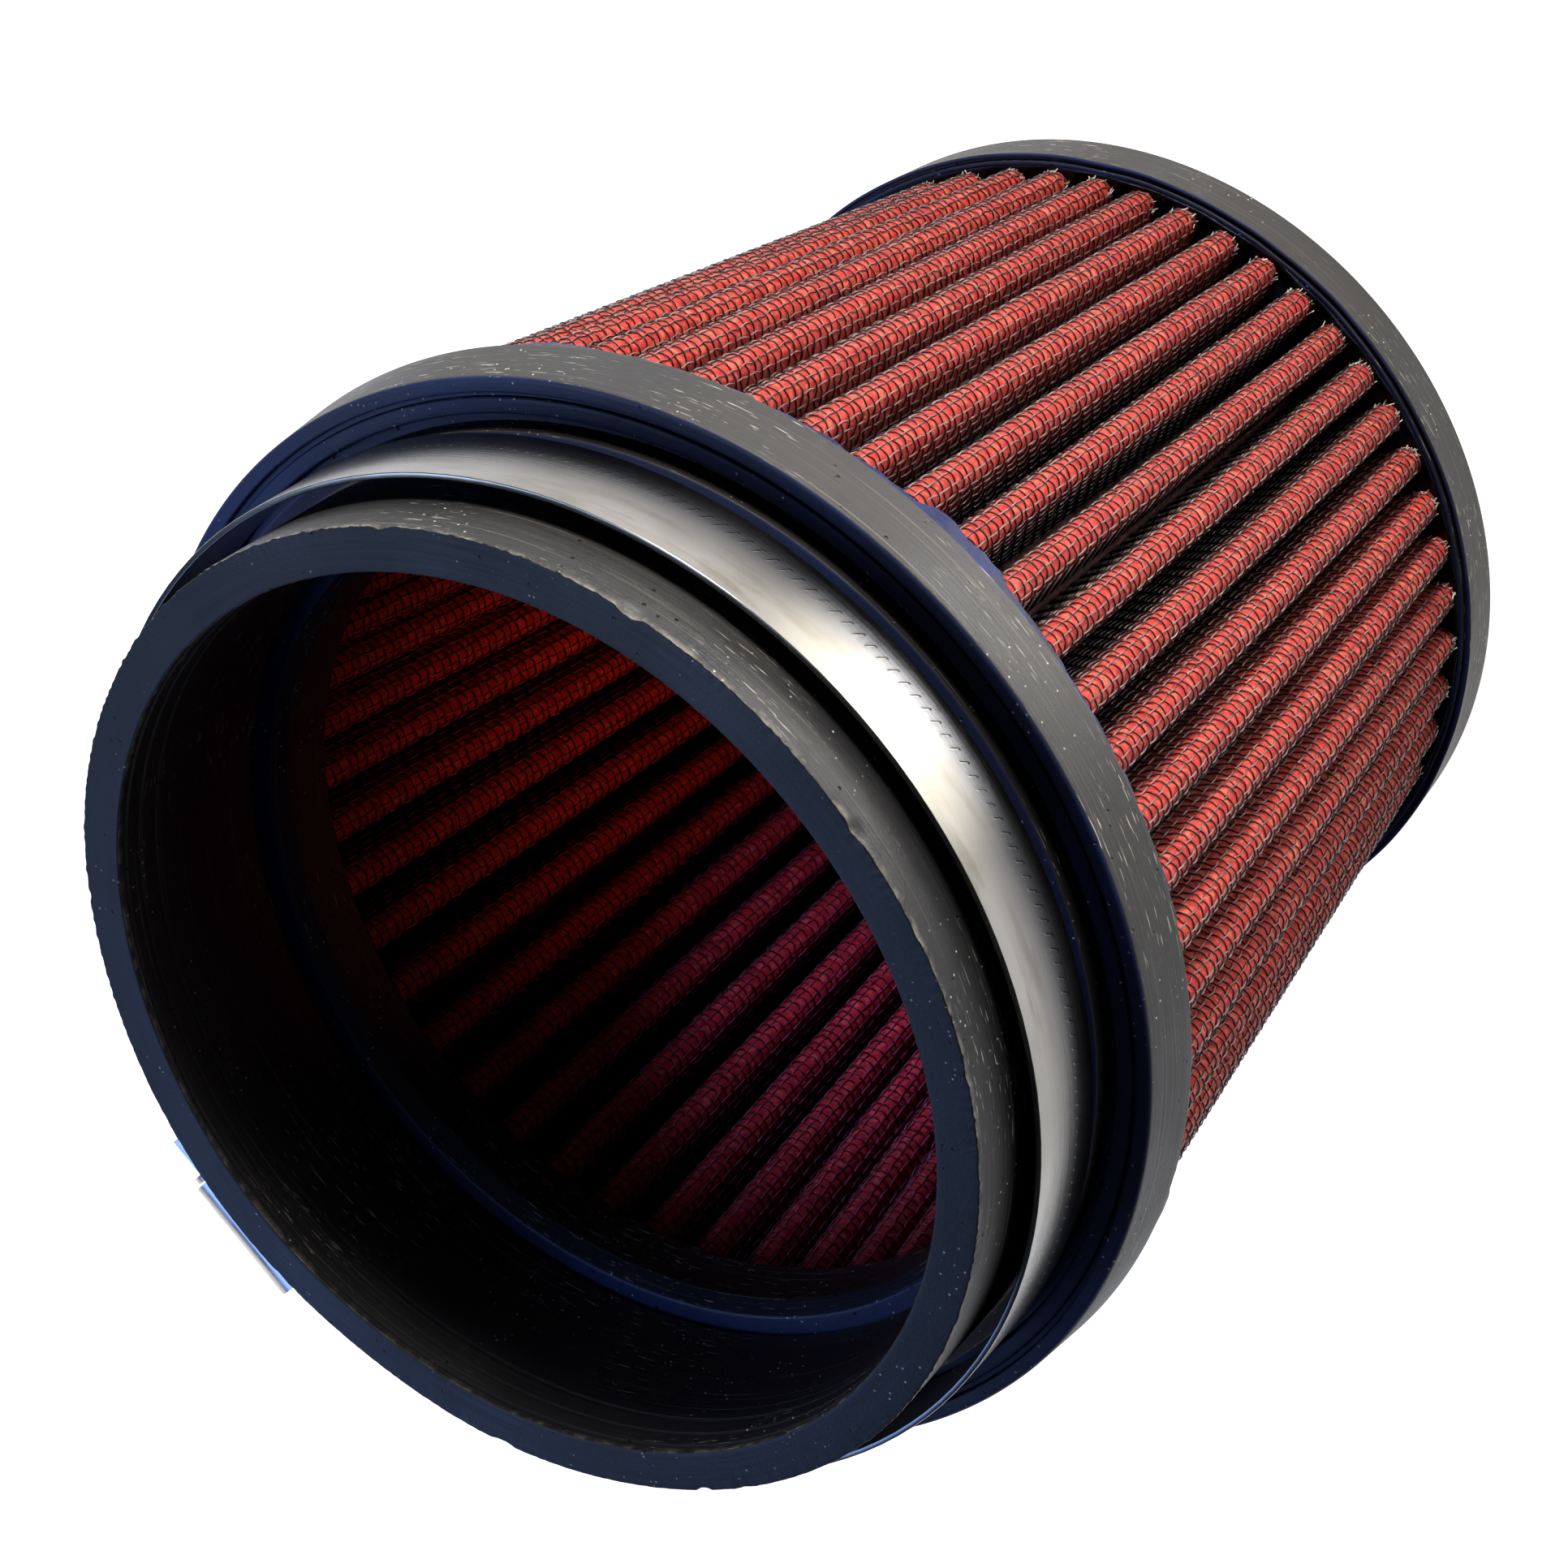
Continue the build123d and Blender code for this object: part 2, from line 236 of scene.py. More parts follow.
def fold_surface(half, s, z, offset):
    """Points on a fold and the directions square to it, s metres along from the fold's middle.

    The offset is from the middle of the stack of screens and plies, outwards.
    """
    half, s, z, offset = np.broadcast_arrays(half, s, z, offset)
    crest = half % 2 == 0
    sign = np.where(crest, 1.0, -1.0)
    centre = fold_centre(half, z)
    radius = FOLD_R + sign * offset
    start = flank_normal(half - 1, z) + math.pi
    end = flank_normal(half, z)
    sweep = np.where(crest, (end - start) % TAU, -((start - end) % TAU))
    arc_half = radius * np.abs(sweep) / 2
    beyond = np.maximum(np.abs(s) - arc_half, 0) * np.sign(s)
    angle = start + sweep / 2 + sign * np.clip(s, -arc_half, arc_half) / radius
    normal = np.stack([np.cos(angle), np.sin(angle)], -1)
    along = np.stack([-np.sin(angle), np.cos(angle)], -1) * sign[..., None]
    flat = centre + normal * radius[..., None] + along * beyond[..., None]
    return np.concatenate([flat, z[..., None]], -1), np.concatenate([normal, 0 * z[..., None]], -1)


WIRE_PITCH = 1.36 * MM
WIRE_R = 0.105 * MM
SCREEN_T = 0.25 * MM
FIRST_WIRE = 0.7 * MM
BARE_FOOT = 3.2 * MM
WIRE_ROWS = int((PACK_HIGH - PACK_LOW - BARE_FOOT) / WIRE_PITCH)
WIRE_SIDES = 3
FRAYED_WIRE_R = 0.085 * MM
FRAYED_PER_CREST = 13
FOLD_SHIFT = rng.uniform(-0.25, 0.25, 2 * PLEATS) * WIRE_PITCH


def screen_wires(side, columns):
    """The woven wire over one side of the pleats, a number of wires down each flank from the fold."""
    crest_side = side == "outer"
    sign = 1 if crest_side else -1
    offset = sign * (STACK_T / 2 - SCREEN_T / 2)
    halves = np.arange(0 if crest_side else 1, 2 * PLEATS, 2)
    # along the pleats
    index = np.arange(-columns, columns + 1)
    steps = np.arange(2 * WIRE_ROWS + 1) / 2
    h, i, j = np.meshgrid(halves, index, steps, indexing="ij")
    z = PACK_HIGH - FIRST_WIRE - j * WIRE_PITCH
    drift = 0.11 * MM * np.sin(j * 0.37 + h * 1.7 + i * 2.1) + 0.05 * MM * np.sin(j * 1.9 + h * 0.7 + i)
    weave = -np.cos(np.pi * j) * np.where(i % 2, -1, 1) * WIRE_R
    place, outward = fold_surface(h, i * WIRE_PITCH + FOLD_SHIFT[h] + drift, z, offset + sign * weave)
    parts = (a.reshape(-1, len(steps), 3) for a in (place, outward))
    wires = [tubes(f"{side}_screen_long_wires", *parts, WIRE_R)]
    # across the pleats, close-set points round the fold and fewer on the flanks
    near, far = np.arange(-14, 15) / 4, np.arange(8, 2 * columns + 1) / 2
    stops = np.r_[-far[::-1], near, far]
    for first, word in ((0, "over"), (1, "under")):
        levels = np.arange(first, WIRE_ROWS + 1, 2)
        h, j, t = np.meshgrid(halves, levels, stops, indexing="ij")
        uneven = 0.6 + 0.5 * np.sin(h * 3.1 + j * 1.3 + np.floor(t) * 1.7)
        bow = 0.24 * MM * np.abs(np.sin(np.pi * t)) * uneven
        lean = 0.1 * MM * np.sin(j * 2.3 + h * 1.1 + t * 0.6)
        z = PACK_HIGH - FIRST_WIRE - j * WIRE_PITCH - bow + lean
        weave = np.cos(np.pi * t) * (1 - 2 * first) * WIRE_R
        place, outward = fold_surface(h, t * WIRE_PITCH + FOLD_SHIFT[h], z, offset + sign * weave)
        parts = (a.reshape(-1, len(stops), 3) for a in (place, outward))
        wires.append(tubes(f"{side}_screen_{word}_wires", *parts, WIRE_R))
    return wires


def frayed_ends(name, z):
    """Short cut ends of wire that stand out round each crest where the screen stops."""
    draw = np.random.default_rng(41)
    halves = np.repeat(np.arange(0, 2 * PLEATS, 2), FRAYED_PER_CREST)
    count = len(halves)
    s = draw.uniform(-3.4, 3.4, count) * MM
    length = draw.uniform(0.4, 1.5, count) * MM
    splay = draw.uniform(-0.1, 0.45, count) * MM
    slant = draw.normal(0, 0.35, count) * MM
    steps = np.linspace(0, 1, 4)
    h, _ = np.meshgrid(halves, steps, indexing="ij")
    z_here = z - length[:, None] * steps
    offset = STACK_T / 2 - SCREEN_T / 2 + splay[:, None] * steps**2
    place, outward = fold_surface(h, s[:, None] + slant[:, None] * steps, z_here, offset)
    return tubes(name, place, outward, FRAYED_WIRE_R)


def pleat_loop(crest_s, valley_s):
    """Fold numbers and places along them that go once round the whole pack."""
    halves, places = [], []
    for half in range(2 * PLEATS):
        stops = crest_s if half % 2 == 0 else valley_s
        halves += [half] * len(stops)
        places += list(stops)
    return np.array(halves), np.array(places)


def gauze_sheet(name, offset, bulge_side, crest_s, valley_s):
    """The face of a gauze ply, round the whole pack, puffed out between the wires that press on it."""
    half, s = pleat_loop(crest_s, valley_s)
    rows = int((PACK_HIGH - PACK_LOW) / WIRE_PITCH * 3) + 1
    z = np.linspace(PACK_HIGH, PACK_LOW, rows)
    h, zz = np.meshgrid(half, z, indexing="xy")
    ss = np.broadcast_to(s, zz.shape)
    cell = np.abs(np.sin(np.pi * (ss - FOLD_SHIFT[h]) / WIRE_PITCH))
    cell = cell * np.abs(np.sin(np.pi * (zz - PACK_HIGH + FIRST_WIRE) / WIRE_PITCH))
    crease = 0.035 * MM * np.sin(zz * 2300 + h * 2.4) * np.sin(ss * 1700 + h)
    place, _ = fold_surface(h, ss, zz, offset + bulge_side * (0.15 * MM * np.sqrt(cell) + crease))
    loop = len(half)
    length = np.cumsum(np.r_[0, np.linalg.norm(np.diff(place[0], axis=0), axis=1)])
    uv = np.stack([np.broadcast_to(length, zz.shape), zz], -1).reshape(-1, 2)
    return mesh_object(name, place, grid_quads(rows, loop, wrap_columns=True, flip=bulge_side > 0), uv)


# ---------------------------------------------------------------- material helpers


class Paint:
    """A node material, built up one node at a time."""

    def __init__(self, name, **sockets):
        self.material = bpy.data.materials.new(name)
        self.material.use_nodes = True
        self.tree = self.material.node_tree
        self.shader = self.tree.nodes["Principled BSDF"]
        self.coordinates = self.tree.nodes.new("ShaderNodeTexCoord")
        for socket, value in sockets.items():
            self.shader.inputs[socket.replace("_", " ")].default_value = value

    def node(self, kind, inputs=(), **settings):
        made = self.tree.nodes.new("ShaderNode" + kind)
        for key, value in settings.items():
            setattr(made, key, value)
        for socket, value in dict(inputs).items():
            if isinstance(value, bpy.types.NodeSocket):
                self.tree.links.new(value, made.inputs[socket])
            else:
                made.inputs[socket].default_value = value
        return made

    def stretched(self, scale, turn=(0, 0, 0), source="Object"):
        """Coordinates scaled per metre, after a turn, for a texture that is longer one way than the other."""
        start = self.coordinates.outputs[source]
        mapping = self.node("Mapping", {"Vector": start, "Scale": scale, "Rotation": turn})
        return mapping.outputs["Vector"]

    def noise(self, scale, detail=3.0, roughness=0.55, vector=None):
        inputs = {"Scale": scale, "Detail": detail, "Roughness": roughness}
        inputs["Vector"] = vector or self.coordinates.outputs["Object"]
        return self.node("TexNoise", inputs).outputs["Fac"]

    def spots(self, scale, size, vector=None):
        """1 at the middles of scattered cells and 0 elsewhere."""
        inputs = {"Scale": scale, "Vector": vector or self.coordinates.outputs["Object"]}
        cells = self.node("TexVoronoi", inputs)
        return self.between(cells.outputs["Distance"], size, size * 0.4)

    def between(self, value, low, high, to_low=0.0, to_high=1.0):
        inputs = {"Value": value, "From Min": low, "From Max": high, "To Min": to_low, "To Max": to_high}
        return self.node("MapRange", inputs).outputs["Result"]

    def maths(self, operation, a, b=0.0):
        return self.node("Math", {0: a, 1: b}, operation=operation).outputs[0]

    def mix(self, share, low, high):
        """A colour between two colours."""
        mixer = self.node("Mix", data_type="RGBA")
        for index, value in ((0, share), (6, low), (7, high)):
            if isinstance(value, bpy.types.NodeSocket):
                self.tree.links.new(value, mixer.inputs[index])
            else:
                mixer.inputs[index].default_value = value if index == 0 else (*value, 1)
        return mixer.outputs[2]

    def drive(self, socket, value):
        self.tree.links.new(value, self.shader.inputs[socket])

    def bump(self, height, distance):
        bumped = self.node("Bump", {"Height": height, "Distance": distance, "Strength": 1.0})
        self.drive("Normal", bumped.outputs["Normal"])


def finish_piece(obj, paint, body, slot, *replaced):
    """Gives a piece its material and body, and hides the CAD nodes that it stands for."""
    obj.data.materials.clear()
    obj.data.materials.append(paint.material)
    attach(obj, body)
    if replaced:
        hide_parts(*replaced)
    return obj


def repaint(node, paint):
    """A CAD node keeps its shape and gets a better material."""
    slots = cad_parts[node].material_slots
    for index in range(len(slots)):
        slots[index].material = paint.material


# ---------------------------------------------------------------- materials


def valley_dirt_and_shade(paint, colour, side):
    """Dust and oil, and painted shade, darken what lies deep between the pleats, seen from one side of them.
    """
    spread = paint.node("SeparateXYZ", {"Vector": paint.coordinates.outputs["Object"]}).outputs
    flat = paint.node("CombineXYZ", {"X": spread["X"], "Y": spread["Y"]}).outputs["Vector"]
    radius = paint.node("VectorMath", {0: flat}, operation="LENGTH").outputs["Value"]
    top, foot = PACK_OUTER if side == "outer" else PACK_INNER
    crest = paint.between(spread["Z"], PACK_LOW, PACK_HIGH, foot, top)
    ends = (crest, radius) if side == "outer" else (radius, crest)
    # painted shade and dirt: darker the deeper a point lies below the crests
    deep = paint.between(paint.maths("SUBTRACT", *ends), 1.2 * MM, 6 * MM)
    return paint.mix(paint.maths("MULTIPLY", deep, 0.92), colour, (0.006, 0.003, 0.003))


def moulded_rubber():
    paint = Paint("moulded_rubber", Specular_IOR_Level=0.34)
    spread = paint.node("SeparateXYZ", {"Vector": paint.coordinates.outputs["Object"]}).outputs
    facing = paint.node("SeparateXYZ", {"Vector": paint.coordinates.outputs["Normal"]}).outputs
    side_wall = paint.between(paint.maths("ABSOLUTE", facing["Z"]), 0.75, 0.35)
    streaks = paint.noise(1.0, 4, 0.65, paint.stretched((45, 2600, 1), source="UV"))
    clouds = paint.noise(60, 4)
    grain = paint.noise(2600, 2)
    worn = paint.between(streaks, 0.35, 0.7)
    worn = paint.maths("MULTIPLY", worn, paint.between(clouds, 0.3, 0.65, 0.2, 1))
    handled = paint.between(spread["Z"], -20 * MM, -24 * MM, 0.3, 1)
    worn = paint.maths("MULTIPLY", paint.maths("MULTIPLY", worn, side_wall), handled)
    colour = paint.mix(worn, (0.008, 0.008, 0.01), (0.026, 0.023, 0.017))
    # painted reflection: a blue tint on the flange's face, standing for blue sky light reflected off it
    painted_reflection = paint.between(side_wall, 0, 1, 1, 0)
    painted_reflection = paint.maths("MULTIPLY", painted_reflection, paint.between(spread["Z"], -19 * MM, -20.6 * MM))
    painted_reflection = paint.maths("MULTIPLY", painted_reflection, paint.between(paint.noise(30, 2), 0.4, 0.6, 0.5, 1))
    colour = paint.mix(painted_reflection, colour, (0.006, 0.017, 0.085))
    lines = []
    for turn, cut in ((0.9, 0.665), (-0.5, 0.69), (0.35, 0.68)):
        hairs = paint.noise(1.0, 2, 0.5, paint.stretched((260, 3600, 1), (0, 0, turn), "UV"))
        lines.append(paint.between(hairs, cut, cut + 0.03))
    marks = paint.maths("MAXIMUM", paint.maths("MAXIMUM", lines[0], lines[1]), lines[2])
    marks = paint.maths("MULTIPLY", marks, paint.between(paint.noise(38, 2), 0.46, 0.58))
    marks = paint.maths("MULTIPLY", marks, side_wall)
    turned = paint.noise(1.0, 3, 0.6, paint.stretched((16, 3000, 1), source="UV"))
    turned = paint.maths("MULTIPLY", paint.between(turned, 0.62, 0.68), side_wall)
    colour = paint.mix(paint.maths("MULTIPLY", turned, 0.3), colour, (0.3, 0.27, 0.21))
    colour = paint.mix(marks, colour, (0.36, 0.34, 0.29))
    scuff = paint.maths("MULTIPLY", paint.between(spread["Z"], -1.0 * MM, -0.1 * MM), side_wall)
    scuff = paint.maths("MULTIPLY", scuff, paint.between(paint.noise(420, 4, 0.7), 0.45, 0.65))
    colour = paint.mix(scuff, colour, (0.17, 0.155, 0.13))
    dust = paint.spots(900, 0.14)
    dust = paint.maths("MULTIPLY", dust, paint.between(paint.noise(90, 2), 0.5, 0.58))
    colour = paint.mix(dust, colour, (0.5, 0.47, 0.4))
    pits = paint.spots(420, 0.1)
    pits = paint.maths("MULTIPLY", pits, paint.between(paint.noise(55, 2), 0.47, 0.55))
    colour = paint.mix(pits, colour, (0.003, 0.003, 0.003))
    paint.drive("Base Color", colour)
    paint.drive("Roughness", paint.between(paint.maths("ADD", clouds, streaks), 0.7, 1.3, 0.42, 0.62))
    furrows = paint.maths("MULTIPLY", paint.maths("MULTIPLY", streaks, 2.0), side_wall)
    height = paint.maths("ADD", grain, furrows)
    height = paint.maths("ADD", height, paint.maths("MULTIPLY", marks, 1.5))
    paint.bump(paint.maths("SUBTRACT", height, paint.maths("MULTIPLY", pits, 12.0)), 0.00003)
    return paint


def potting(name, dark, light):
    paint = Paint(name, Specular_IOR_Level=0.1)
    clouds = paint.noise(300, 3)
    paint.drive("Base Color", paint.mix(paint.between(clouds, 0.35, 0.65), dark, light))
    paint.drive("Roughness", paint.between(clouds, 0.3, 0.7, 0.3, 0.5))
    paint.bump(paint.noise(1400, 3), 0.00015)
    return paint


def coated_wire(name, dull, light, side=None):
    paint = Paint(name, Metallic=0.3, Specular_IOR_Level=0.5)
    patches = paint.noise(700, 3)
    colour = paint.mix(paint.between(patches, 0.35, 0.65), dull, light)
    paint.drive("Base Color", valley_dirt_and_shade(paint, colour, side) if side else colour)
    paint.drive("Roughness", paint.between(patches, 0.3, 0.7, 0.25, 0.45))
    paint.bump(paint.noise(5000, 2), 0.00002)
    return paint


def red_gauze(name, side=None):
    paint = Paint(name, Specular_IOR_Level=0.3)
    threads = []
    for scale, direction in (((2300, 1, 1), "X"), ((1, 2300, 1), "Y")):
        wave = {"Vector": paint.stretched(scale, source="UV"), "Scale": 1.0}
        threads.append(paint.node("TexWave", wave, bands_direction=direction).outputs["Fac"])
    weave = paint.maths("MULTIPLY", *threads)
    fuzz = paint.noise(3500, 3, 0.7)
    soaked = paint.noise(260, 4)
    painted_glints = paint.noise(1000, 2)
    colour = paint.mix(paint.between(soaked, 0.35, 0.65), (0.3, 0.01, 0.007), (0.47, 0.021, 0.014))
    # painted highlights: lighter salmon patches standing for light glinting off oil on the gauze
    colour = paint.mix(paint.between(painted_glints, 0.48, 0.7, 0, 0.7), colour, (0.68, 0.16, 0.1))
    colour = paint.mix(paint.maths("MULTIPLY", weave, 0.15), colour, (0.5, 0.06, 0.04))
    colour = paint.mix(paint.between(fuzz, 0.62, 0.75, 0, 0.3), colour, (0.8, 0.3, 0.22))
    paint.drive("Base Color", valley_dirt_and_shade(paint, colour, side) if side else colour)
    paint.drive("Roughness", paint.between(fuzz, 0.3, 0.7, 0.5, 0.8))
    paint.bump(paint.maths("ADD", weave, fuzz), 0.00005)
    return paint


def rolled_steel():
    paint = Paint("rolled_steel", Metallic=1.0, Anisotropic=0.3, Anisotropic_Rotation=0.25)
    spread = paint.node("SeparateXYZ", {"Vector": paint.coordinates.outputs["Object"]}).outputs
    around = paint.maths("MULTIPLY", paint.maths("ARCTAN2", spread["Y"], spread["X"]), NECK_R)
    across = paint.maths("SUBTRACT", BAND_HIGH, spread["Z"])
    flat = paint.node("CombineXYZ", {"X": around, "Y": across}).outputs["Vector"]
    rolling = paint.node("Mapping", {"Vector": flat, "Scale": (18, 5200, 1)}).outputs["Vector"]
    rolling = paint.noise(1.0, 4, 0.6, rolling)
    clouds = paint.noise(45, 3)
    stains = paint.node("Mapping", {"Vector": flat, "Scale": (90, 420, 1)}).outputs["Vector"]
    stains = paint.noise(1.0, 4, 0.6, stains)
    colour = paint.mix(paint.between(clouds, 0.35, 0.65), (0.2, 0.188, 0.162), (0.32, 0.305, 0.275))
    colour = paint.mix(paint.between(stains, 0.5, 0.66, 0, 0.5), colour, (0.17, 0.145, 0.11))
    # the row of short slanting teeth marks, with a painted shadow beside each
    slanted = paint.maths("ADD", around, paint.maths("MULTIPLY", across, 0.55))
    beat = paint.maths("FRACT", paint.maths("DIVIDE", slanted, 1.5 * MM))
    tick = paint.between(beat, 0.12, 0.2, 1, 0)
    tick = paint.maths("MULTIPLY", tick, paint.between(across, 7.3 * MM, 7.5 * MM))
    tick = paint.maths("MULTIPLY", tick, paint.between(across, 8.4 * MM, 8.6 * MM, 1, 0))
    tick = paint.maths("MULTIPLY", tick, paint.between(paint.noise(120, 2), 0.36, 0.5, 0.3, 1))
    colour = paint.mix(paint.maths("MULTIPLY", tick, 0.8), colour, (0.7, 0.66, 0.55))
    # a painted shadow beside each tick
    shade = paint.maths("MULTIPLY", paint.between(beat, 0.2, 0.3), paint.between(beat, 0.35, 0.5, 1, 0))
    shade = paint.maths("MULTIPLY", shade, paint.between(across, 7.2 * MM, 7.5 * MM))
    shade = paint.maths("MULTIPLY", shade, paint.between(across, 8.4 * MM, 8.7 * MM, 0.5, 0))
    colour = paint.mix(shade, colour, (0.07, 0.06, 0.05))
    # painted shade, uneven: the band darker towards its rear edge, where its reflection falls off
    painted_reflection = paint.maths("ADD", across, paint.maths("MULTIPLY", clouds, 3 * MM))
    painted_reflection = paint.between(painted_reflection, 3.5 * MM, 9.5 * MM, 0, 0.9)
    colour = paint.mix(painted_reflection, colour, (0.05, 0.052, 0.06))
    paint.drive("Base Color", colour)
    rough = paint.maths("ADD", paint.maths("MULTIPLY", rolling, 0.1), paint.maths("MULTIPLY", clouds, 0.08))
    paint.drive("Roughness", paint.maths("ADD", rough, 0.1))
    paint.bump(paint.maths("ADD", rolling, paint.maths("MULTIPLY", tick, 3.0)), 0.000012)
    return paint


def pressed_steel(name, tone):
    paint = Paint(name, Metallic=1.0)
    clouds = paint.noise(180, 4)
    lines = paint.noise(1.0, 3, 0.6, paint.stretched((300, 300, 4200)))
    colour = paint.mix(clouds, tuple(0.8 * part for part in tone), tone)
    paint.drive("Base Color", colour)
    paint.drive("Roughness", paint.between(paint.maths("ADD", clouds, lines), 0.6, 1.4, 0.16, 0.38))
    paint.bump(lines, 0.00001)
    return paint


FLOOR_GLOW = 1.02


def floor_paint():
    paint = Paint("pale_floor", Roughness=0.9, Specular_IOR_Level=0.1)
    paint.drive("Base Color", paint.mix(paint.noise(6, 2), (0.8, 0.8, 0.8), (0.84, 0.84, 0.84)))
    paint.shader.inputs["Emission Color"].default_value = (1.0, 0.985, 0.955, 1)
    paint.shader.inputs["Emission Strength"].default_value = FLOOR_GLOW
    return paint


RUBBER = moulded_rubber()
POTTING = potting("blue_potting", (0.003, 0.005, 0.02), (0.004, 0.01, 0.075))
BLACK_POTTING = potting("black_potting", (0.002, 0.002, 0.003), (0.004, 0.005, 0.012))
# one coating on all the wires: the cross wires' darker colours are painted shade
LONG_WIRE = coated_wire("light_wire", (0.1, 0.06, 0.058), (0.25, 0.17, 0.16), "outer")
CROSS_WIRE = coated_wire("cross_wire_painted_shade", (0.018, 0.01, 0.01), (0.07, 0.035, 0.032), "outer")
INNER_LONG_WIRE = coated_wire("inner_light_wire", (0.1, 0.03, 0.03), (0.3, 0.12, 0.14), "inner")
INNER_CROSS_WIRE = coated_wire("inner_painted_shade_wire", (0.08, 0.008, 0.01), (0.16, 0.02, 0.03), "inner")
CUT_WIRE = coated_wire("cut_wire", (0.3, 0.28, 0.27), (0.6, 0.57, 0.54))
GAUZE = red_gauze("red_gauze", "outer")
INNER_GAUZE = red_gauze("inner_red_gauze", "inner")
MIDDLE_GAUZE = red_gauze("middle_red_gauze")
BAND_STEEL = rolled_steel()
HOUSING_STEEL = pressed_steel("pressed_steel", (0.62, 0.61, 0.58))
SCREW_STEEL = pressed_steel("screw_steel", (0.66, 0.65, 0.62))
SEAM_METAL = pressed_steel("seam_metal", (0.16, 0.155, 0.15))

# ---------------------------------------------------------------- rubber mouldings


def rim_wear(radius, height, theta):
    """The knife-trimmed rim: a wavy edge with small burrs, and a face that is a little uneven."""
    edge = smooth_step(-1.6 * MM, 0, height) * smooth_step(54.2 * MM, 56 * MM, radius)
    nicks = np.maximum(wobble(theta, 6, 9, 70, 0.1) - 0.75, 0) * 0.7 * MM
    waves = wobble(theta, 1, 3, 14, 0.3) * 0.16 * MM - nicks
    burrs = wobble(theta, 2, 60, 330, 0.1)
    rough_part = 0.25 + 0.75 * smooth_step(-0.2, 0.5, wobble(theta, 3, 1, 5) + 0.25)
    teeth = np.maximum(burrs, -0.3) * rough_part * 0.11 * MM
    radius = radius + edge * (waves + teeth)
    face = smooth_step(-0.8 * MM, 0, height)
    height = height - face * (0.06 * MM + wobble(theta, 4, 2, 9, 0.3) * 0.07 * MM)
    height = height - edge * np.abs(wobble(theta, 5, 40, 200, 0.1)) * 0.05 * MM
    return radius, height, theta


def neck_and_flange():
    """The rubber moulding, outside, face, rear and bore, as (radius, height, rounding) in millimetres."""
    corners = [(51.2, 0, 0.35), (56, 0, 0.18), (56, -19.9, 0.4), (58, -20.7, 0.35), (58, -22.8, 0.25)]
    corners += [(58.2, -23.5, 0.2), (59.5, -23.5, 0.2), (59.5, -21.7, 0.3), (61.3, -21.7, 0.3)]
    corners += [(61.3, -22.3, 0.1), (61.9, -22.3, 0.1), (61.9, -21.3, 0.25), (63.6, -21.3, 0.5)]
    corners += [(64.4, -29, 0.25), (62.9, -29, 0.1), (62.9, -26, 0.1), (49, -26, 0.1), (49, -32.8, 0.15)]
    corners += [(48.3, -32.8, 0.2), (48.3, -26.3, 0.8), (49.4, -24, 0.4), (52, -24, 0.15), (52, -23.2, 0.15)]
    corners += [(51.2, -23.2, 0.2)]
    for depth in (6.4, 3.7, 1.4):
        corners += [(51.2, -depth - 0.3, 0.05), (51.45, -depth, 0.1), (51.2, -depth + 0.3, 0.05)]
    return lathe("rubber_neck_and_flange", corners, 1440, 0.45, rim_wear)


def cap_wear(radius, height, theta):
    lip = smooth_step(-128.6 * MM, -127.3 * MM, height)
    radius = radius + lip * wobble(theta, 11, 4, 40, 0.5) * 0.07 * MM
    height = height + lip * wobble(theta, 12, 4, 60, 0.5) * 0.08 * MM
    return radius, height, theta


def cap():
    """The end cap's moulding, from its inner face out over the rim and back under to the axis."""
    corners = [(0, -129.5, 0), (38.6, -129.5, 0.3), (38.6, -132, 0), (52.75, -132, 0)]
    corners += [(52.75, -127.15, 0.15), (53.25, -127.15, 0.15), (53.3, -127.9, 0.1)]
    corners += [(53.75, -127.9, 0.1), (53.8, -127.3, 0.12), (54.2, -127.4, 0.25)]
    corners += [(53.7, -134.9, 0.3), (52.9, -136, 0.6), (46, -136, 0.2), (45.5, -135.6, 0.2)]
    corners += [(44.5, -135.6, 0.2), (44, -136, 0.2), (0, -136, 0)]
    return lathe("rubber_end_cap", corners, 1080, 0.6, cap_wear)


# where the potting was squeezed out furthest: place and spread in degrees, and how far in millimetres
FLASH_LOBES = (
    (-80, 2.4, 1.7),
    (-85, 2.8, 1.5),
    (-91, 5, 0.6),
    (-37, 5, 1.0),
    (-155, 6, 1.3),
    (62, 8, 1.1),
    (138, 7, 1.5),
)


def flange_flash():
    """Potting squeezed out between the flange's rear edge and the pleats, ragged and missing in places."""

    def squeeze(radius, height, theta):
        runs = 0.22 + 0.2 * wobble(theta, 21, 3, 16, 0.4) + 0.14 * wobble(theta, 22, 30, 160, 0.3)
        for place, spread, far in FLASH_LOBES:
            off = (np.degrees(theta) - place + 180) % 360 - 180
            runs = runs + far * np.exp(-((off / spread) ** 4)) * (1 + 0.12 * wobble(theta, 24, 60, 200, 0.2))
        down = smooth_step(-28.9 * MM, -29.5 * MM, height)
        height = height - down * np.maximum(runs, 0.05) * MM
        radius = radius + down * 0.12 * MM * wobble(theta, 23, 15, 90, 0.4)
        return radius, height, theta

    corners = [(60.6, -28.9, 0), (64.15, -28.9, 0.1), (64.0, -29.4, 0.2)]
    corners += [(63.1, -29.8, 0.3), (60.6, -29.7, 0.2)]
    return lathe("flange_potting_flash", corners, 2400, 0.2, squeeze)


def blobs(name, centres, radii):
    """Small round drops."""
    rings, sides = 7, 10
    turn, tilt = np.meshgrid(np.arange(sides) * TAU / sides, np.linspace(0, math.pi, rings), indexing="xy")
    ball = np.stack([np.cos(turn) * np.sin(tilt), np.sin(turn) * np.sin(tilt), np.cos(tilt)], -1)
    points = np.asarray(centres)[:, None, None] + ball[None] * np.asarray(radii)[:, None, None, None]
    one = grid_quads(rings, sides, wrap_columns=True, flip=True)
    quads = (one[None] + (np.arange(len(radii)) * rings * sides)[:, None, None]).reshape(-1, 4)
    return mesh_object(name, points, quads)


